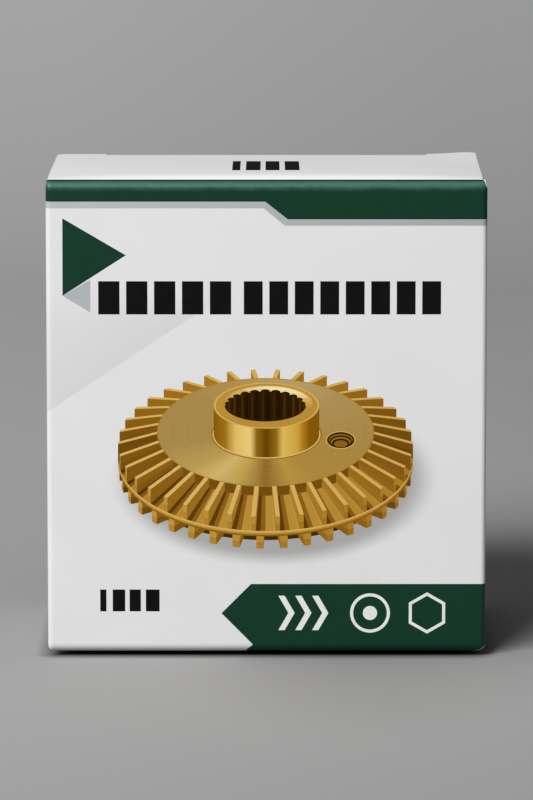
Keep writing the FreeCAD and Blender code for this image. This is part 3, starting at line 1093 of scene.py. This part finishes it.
def buildSheet(name, cells, points, kinds):  # outer face, inner face and the raw edge between them
    finishes = ["board", "inside", "rawEdge"]
    order, outer, outs, flatPoints = {}, [], [], []
    borders = {}
    for face, source, printed in cells:
        for i in face:
            if i not in order:
                order[i] = len(outer)
                place, out = fold(kinds[source], *points[i])
                outer.append(place)
                outs.append(out)
                flatPoints.append(points[i])
        borders.update(dict.fromkeys(zip(face, face[1:] + face[:1])))
    count = len(outer)
    faces, finish, tones = [], [], []

    def addFace(loop, number, tone=0.0):
        faces.append(loop)
        finish.append(number)
        tones.append(tone)

    for face, source, printed in cells:
        loop = [order[i] for i in face]
        coat, tone = ("board", 0.0) if printed is None else ink[printed][:2]
        if coat not in finishes:
            finishes.append(coat)
        addFace(loop, finishes.index(coat), tone)
        addFace([i + count for i in reversed(loop)], 1)
    for a, b in borders:
        if (b, a) not in borders:
            p, q = order[a], order[b]
            addFace([q, p, p + count, q + count], 2)
    inner = [p - n * carton["board"] for p, n in zip(outer, outs)]
    mesh = bpy.data.meshes.new(name)
    mesh.from_pydata([p * mm for p in outer + inner], [], faces)
    mesh.uv_layers.new(name="blank")
    mesh.attributes.new("tone", "FLOAT", "CORNER")
    flatMap = np.array([flatPoints[i % count] for face in faces for i in face], dtype=np.float32)
    mesh.uv_layers["blank"].uv.foreach_set("vector", flatMap.ravel() * 0.01)
    mesh.attributes["tone"].data.foreach_set("value", [t for t, face in zip(tones, faces) for i in face])
    mesh.polygons.foreach_set("material_index", finish)
    mesh.polygons.foreach_set("use_smooth", [True] * len(faces))
    sharp = {key for face in mesh.polygons if finish[face.index] == 2 for key in face.edge_keys}
    for edge in mesh.edges:
        edge.use_edge_sharp = tuple(sorted(edge.vertices)) in sharp
    for item in finishes:
        mesh.materials.append(finishMaterials[item])
    made = bpy.data.objects.new(name, mesh)
    bpy.context.collection.objects.link(made)
    print("sheet", name, len(mesh.polygons), "faces")
    return made


# Pieces: cut and fold each, and hand the shell, lock tabs, lid and tuck to their bodies
outlines = [outline for piece, kind, outline in blank]
points, cells = cutBlank(outlines, [field[2] for field in ink], gridLines())
made = {}
for name in ("shell", "frontCrease", "lid", "tuckCrease", "tuck"):
    mine = [cell for cell in cells if blank[cell[1]][0] == name]
    made[name] = buildSheet(name, mine, points, [kind for piece, kind, outline in blank])
tabPoints, tabCells = cutBlank(tabs, [], ([-20, -10, 0, 10, 20], [-10, -5, 0, 5, 10]))
made["lockTabs"] = buildSheet("lockTabs", tabCells, tabPoints, ["tab", "tab"])

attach(made["shell"], "carton")
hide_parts("carton_body")
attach(made["lockTabs"], "carton")
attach(made["lid"], "lid")
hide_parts("top_lid")
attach(made["tuck"], "tuck")
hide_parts("tuck_flap")


def blendOver(piece):
    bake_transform(piece)


blendOver(made["frontCrease"])
blendOver(made["tuckCrease"])
print("pieces ready", ", ".join(made))

# Stage: one pale sweep of paper, with painted shade and light on it round the carton, low enough to look
# over from behind, a large soft light and a little fill
stage = {
    "front": -5000, "rows": [-60 + 40 * i for i in range(6)], "bend": 500, "radius": 500, "rise": 260,
    "half": 5000, "near": -130, "far": 1000, "roughness": 0.85, "steps": 16,
    # tones by depth: darker at the carton's depth and lighter just in front of it, painted shade and light
    # on the floor, then brighter up the sweep
    "tones": [
        (0.0, 158), (0.07, 173), (0.12, 151), (0.18, 165), (0.28, 173), (0.53, 182), (0.8, 188), (1.0, 193)],
    "sides": 60, "right": 0.9,  # the paper's share of its tone on the right, painted shade away from the lamp on the left
    "contactShadow": (0.12, -2.0, 2.2),  # painted contact shadow: share of its tone under the carton, from and to so far outside the walls
    "shadePatch": ((16, -23), (36, 75), 0.8),  # middle, half sizes and share of the painted shadow patch in front
}
lights = {
    "azimuth": 34, "elevation": 38, "distance": 1800, "width": 1050, "height": 800, "power": 42.8, "aim": 35,
    "fill": 0.115,
}


def sweepPaint(tree, place):
    depth = spread(tree, along(tree, place, (0, 1, 0)), stage["near"] * mm, stage["far"] * mm)
    tone = ramp(tree, depth, [(at, (c, c, c)) for at, c in stage["tones"]], "B_SPLINE")
    # the paper is painted darker to the right: painted shade away from the lamp on the left
    side = spread(tree, along(tree, place, (1, 0, 0)), -stage["sides"] * mm, stage["sides"] * mm)
    dimmer = mixTwo(tree, side, (1, 1, 1, 1), (stage["right"],) * 3 + (1,))
    paper = mixTwo(tree, 1.0, tone, dimmer, "MULTIPLY")
    # a painted shadow patch darkens the paper round the carton's front, more to the right
    middle, halves, share = stage["shadePatch"]
    near = mapped(tree, place, Vector((*middle, 0)) * mm, Vector((*halves, 1000)) * mm, "TEXTURE")
    shadePatch = spread(tree, lengthOf(tree, near), 0, 1, share, 1, True)
    # a painted contact shadow darkens the paper round the carton's foot
    dark, start, end = stage["contactShadow"]
    walls = Vector((carton["halfW"] + start, carton["halfD"] + start, 0)) * mm
    past = vectorCalc(tree, "SUBTRACT", vectorCalc(tree, "ABSOLUTE", place)[0], walls)[0]
    beyond = vectorCalc(tree, "MAXIMUM", past)[0]
    contactShadow = spread(tree, lengthOf(tree, beyond), 0, (end - start) * mm, dark, 1)
    return mixTwo(tree, contactShadow, (0, 0, 0, 1), mixTwo(tree, shadePatch, (0, 0, 0, 1), paper))


def makeSweep():
    profile = [(stage["front"], 0)] + [(y, 0) for y in stage["rows"]]
    for i in range(stage["steps"] + 1):
        a = math.acos(1 - stage["rise"] / stage["radius"]) * i / stage["steps"]
        profile.append((stage["bend"] + stage["radius"] * math.sin(a), stage["radius"] * (1 - math.cos(a))))
    edges = [Vector((x, y, z)) * mm for y, z in profile for x in (-stage["half"], stage["half"])]
    mesh = bpy.data.meshes.new("sweep")
    mesh.from_pydata(edges, [], [(2 * i, 2 * i + 1, 2 * i + 3, 2 * i + 2) for i in range(len(profile) - 1)])
    mesh.polygons.foreach_set("use_smooth", [True] * len(mesh.polygons))
    paper = bpy.data.materials.new("sweep paper")
    paper.use_nodes = True
    tree = paper.node_tree
    shader = tree.nodes["Principled BSDF"].inputs
    shader["Roughness"].default_value = stage["roughness"]
    place = addNode(tree, "ShaderNodeTexCoord").outputs["Object"]
    tree.links.new(sweepPaint(tree, place), shader["Base Color"])
    mesh.materials.append(paper)
    sweep = bpy.data.objects.new("sweep", mesh)
    bpy.context.collection.objects.link(sweep)
    return sweep


def makeLights():
    az, el = math.radians(lights["azimuth"]), math.radians(lights["elevation"])
    towards = Vector((-math.sin(az) * math.cos(el), -math.cos(az) * math.cos(el), math.sin(el)))
    soft = bpy.data.lights.new("key", "AREA")
    soft.shape = "RECTANGLE"
    soft.size = lights["width"] * mm
    soft.size_y = lights["height"] * mm
    soft.energy = lights["power"]
    key = bpy.data.objects.new("key", soft)
    key.location = towards * lights["distance"] * mm + Vector((0, 0, lights["aim"])) * mm
    key.rotation_euler = towards.to_track_quat("Z", "Y").to_euler()
    bpy.context.collection.objects.link(key)
    world = bpy.data.worlds.new("world")
    bpy.context.scene.world = world
    world.use_nodes = True
    background = world.node_tree.nodes["Background"].inputs
    background["Color"].default_value = (1, 1, 1, 1)
    background["Strength"].default_value = lights["fill"]


makeSweep()
makeLights()
print("stage ready")
